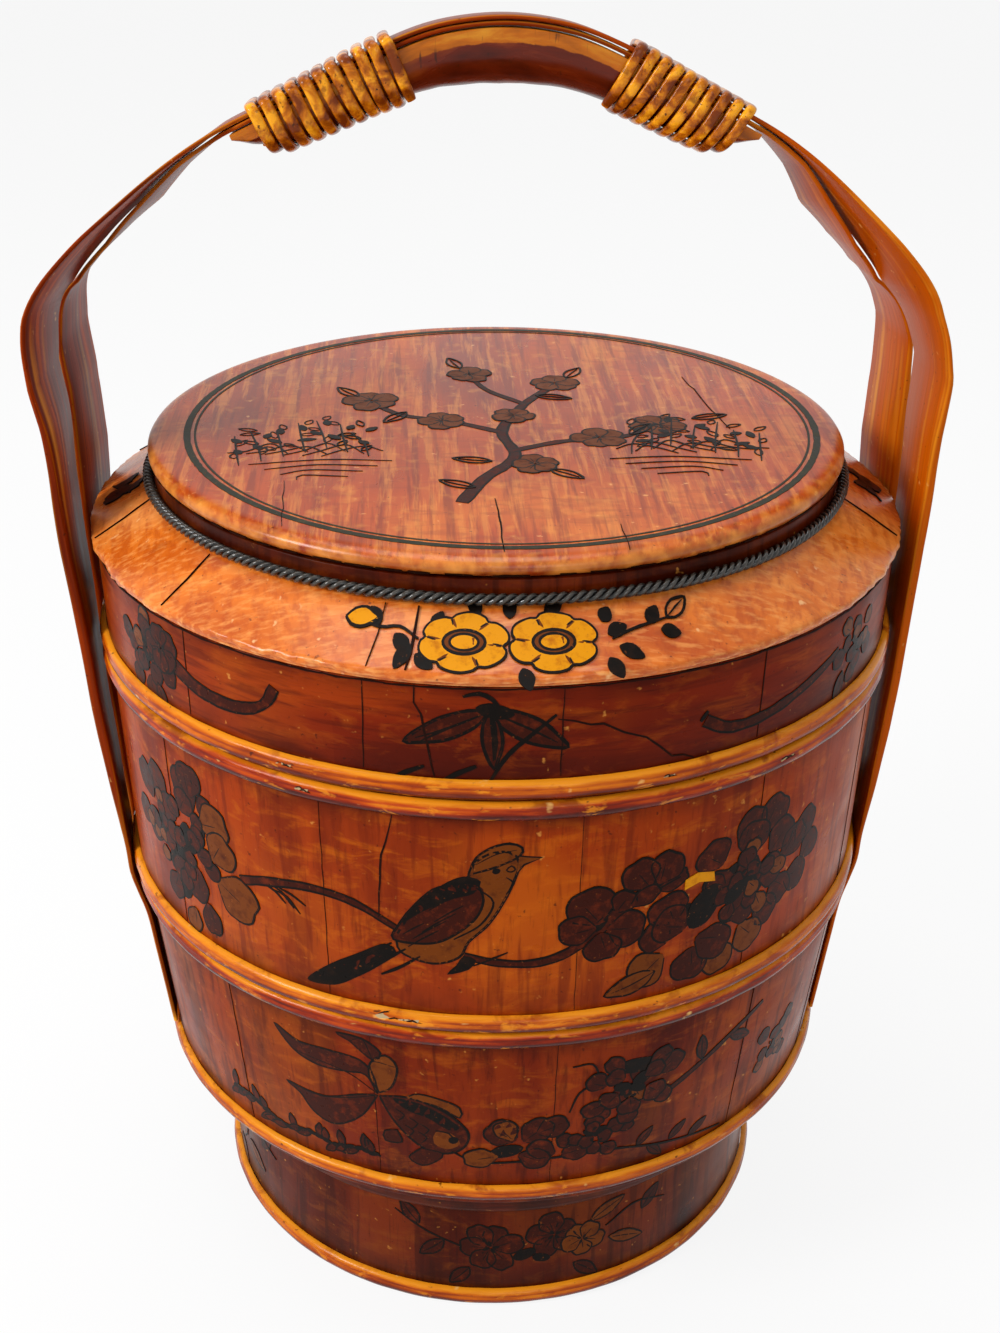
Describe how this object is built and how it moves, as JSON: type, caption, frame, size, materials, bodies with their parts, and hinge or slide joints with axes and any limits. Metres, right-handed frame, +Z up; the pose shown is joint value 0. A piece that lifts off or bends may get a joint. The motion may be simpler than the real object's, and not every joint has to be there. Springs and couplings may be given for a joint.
{
  "type": "tiered food basket",
  "caption": "Round lacquered wooden food basket with stacking tiers, a stepped flat-topped lid and a fixed bentwood carrying handle with cane windings.",
  "frame": {"origin": "centre of the flat underside of the foot", "axes": "+Z up through the stack; the handle spans left to right along X; -Y faces the viewer of the picture"},
  "size_m": [0.3842, 0.3622, 0.5688],
  "materials": {
    "wall_lacquer": "glossy red-brown lacquer over wood with vertical staves",
    "hoop_lacquer": "glossy golden lacquer on half round bent laths, worn",
    "grip_lacquer": "dark red-brown lacquer",
    "inner_wood": "thinly lacquered wood",
    "lath_lacquer": "glossy red-brown lacquer on bentwood, worn golden at the edges",
    "cane": "varnished golden cane",
    "peg_wood": "plain wooden pegs",
    "shoulder_lacquer": "glossy orange lacquer over fine ripple grain",
    "dark_rope": "dark lacquered cord",
    "top_lacquer": "glossy orange-red lacquer with a painted ring"
  },
  "bodies": {
    "base": {"foot_wall": "wall_lacquer", "foot_hoop": "hoop_lacquer", "foot_collar": "grip_lacquer", "bottom_tier_wall": "wall_lacquer", "bottom_tier_floor": "inner_wood", "bottom_tier_low_hoop": "hoop_lacquer", "bottom_tier_top_hoop": "hoop_lacquer", "bottom_tier_lip": "inner_wood", "handle_front_lath_foot_left": "lath_lacquer", "handle_front_lath_left": "lath_lacquer", "handle_front_lath_crown": "lath_lacquer", "handle_front_lath_right": "lath_lacquer", "handle_front_lath_foot_right": "lath_lacquer", "handle_back_lath_foot_left": "lath_lacquer", "handle_back_lath_left": "lath_lacquer", "handle_back_lath_crown": "lath_lacquer", "handle_back_lath_right": "lath_lacquer", "handle_back_lath_foot_right": "lath_lacquer", "handle_grip": "grip_lacquer", "handle_left_winding": "cane", "handle_right_winding": "cane", "handle_peg_front_left": "peg_wood", "handle_peg_front_right": "peg_wood", "handle_peg_back_left": "peg_wood", "handle_peg_back_right": "peg_wood"},
    "middle_tier": {"middle_tier_wall": "wall_lacquer", "middle_tier_floor": "inner_wood", "middle_tier_low_hoop": "hoop_lacquer", "middle_tier_top_hoop": "hoop_lacquer", "middle_tier_lip": "inner_wood"},
    "lid": {"lid_wall": "wall_lacquer", "lid_hoop": "hoop_lacquer", "lid_shoulder": "shoulder_lacquer", "lid_neck": "wall_lacquer", "lid_rope_trim": "dark_rope", "lid_top_board": "top_lacquer"}
  },
  "joints": [
    {"name": "middle_tier_lift", "type": "slide", "parent": "base", "child": "middle_tier", "axis": [0, 0, 1], "range_m": [0, 0.036]},
    {"name": "lid_lift", "type": "slide", "parent": "middle_tier", "child": "lid", "axis": [0, 0, 1], "range_m": [0, 0.036]}
  ]
}
